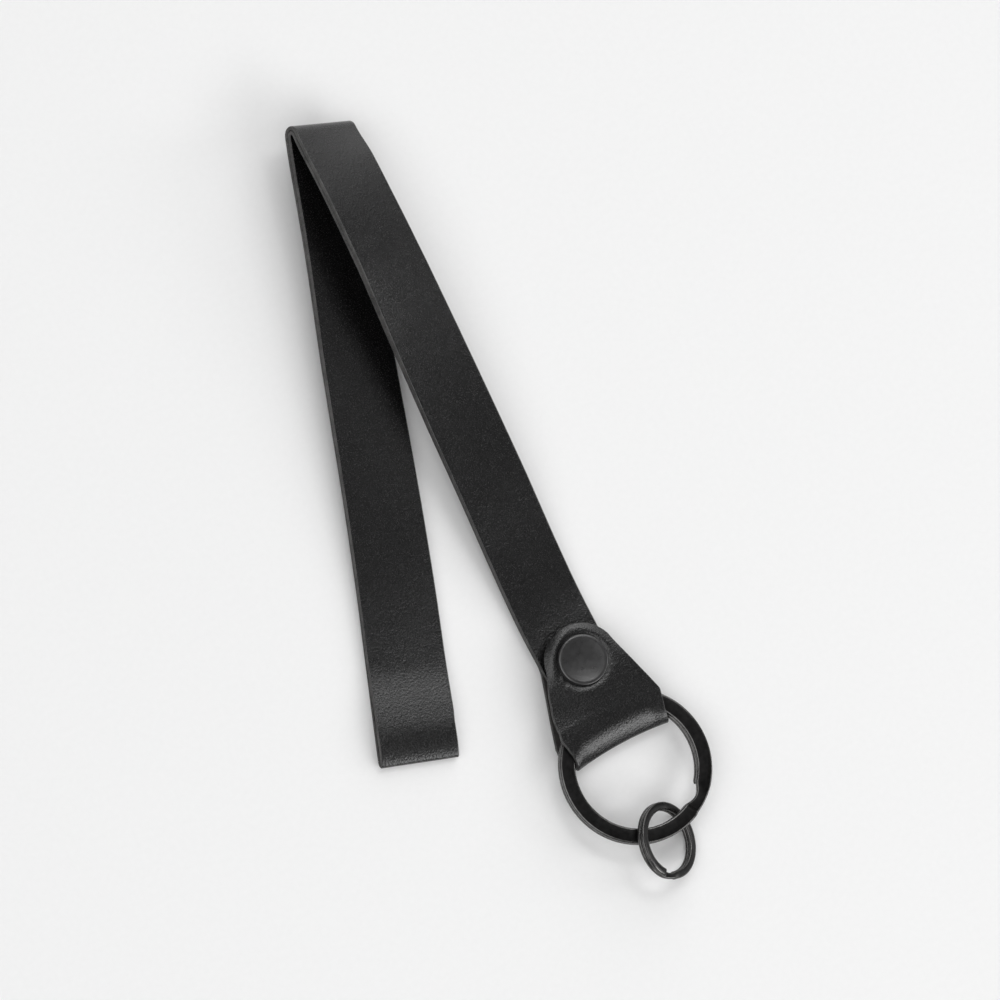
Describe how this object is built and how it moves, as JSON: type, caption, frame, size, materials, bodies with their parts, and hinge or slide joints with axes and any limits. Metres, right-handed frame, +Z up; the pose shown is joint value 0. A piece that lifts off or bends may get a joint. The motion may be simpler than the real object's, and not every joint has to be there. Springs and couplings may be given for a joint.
{
  "type": "wristlet keychain",
  "caption": "Folded leather wrist strap snapped shut round a flat split ring that carries a smaller split ring.",
  "frame": {"origin": "middle of the keychain's box, on the surface that it lies on", "axes": "+Y from the rings along the strap to its top fold, +X to the strap's right seen from above with the rings towards the viewer, +Z up"},
  "size_m": [0.0596, 0.1608, 0.0143],
  "materials": {
    "leather": "matt black grain, dyed edges",
    "cap_metal": "satin black enamel",
    "snap_metal": "black nickel plated",
    "spring_steel": "bright spring wire",
    "ring_metal": "satin gunmetal plating, bright edges"
  },
  "bodies": {
    "loop_end": {"back_run": "leather"},
    "strap": {"top_fold_outer": "leather", "top_fold_inner": "leather", "front_run_outer": "leather", "front_run_inner": "leather", "ring_fold": "leather", "snap_stud": "snap_metal", "snap_post": "snap_metal"},
    "flap": {"ring_flap": "leather", "snap_cap": "cap_metal", "snap_socket": "snap_metal", "snap_spring": "spring_steel"},
    "key_ring": {"key_ring": "ring_metal"},
    "small_ring": {"small_ring": "ring_metal"}
  },
  "joints": [
    {"name": "loop_unfold", "type": "hinge", "parent": "loop_end", "child": "strap", "pos_m": [0.01232, 0.07677, 0.00735], "axis": [-0.8824, 0.2364, 0.4067], "range_deg": [0, 45], "deforming": ["top_fold_outer", "top_fold_inner"]},
    {"name": "flap_open", "type": "hinge", "parent": "strap", "child": "flap", "pos_m": [0.01459, -0.05024, 0.0059], "axis": [0.9994, 0.0349, 0], "range_deg": [0, 110]},
    {"name": "ring_turn", "type": "hinge", "parent": "strap", "child": "key_ring", "pos_m": [0.01484, -0.05758, 0.00398], "axis": [0, 0.0611, 0.9981], "continuous": true},
    {"name": "small_ring_slide", "type": "hinge", "parent": "strap", "child": "small_ring", "pos_m": [0.01484, -0.05758, 0.00398], "axis": [0, 0.0611, 0.9981], "range_deg": [-55, 55]}
  ]
}
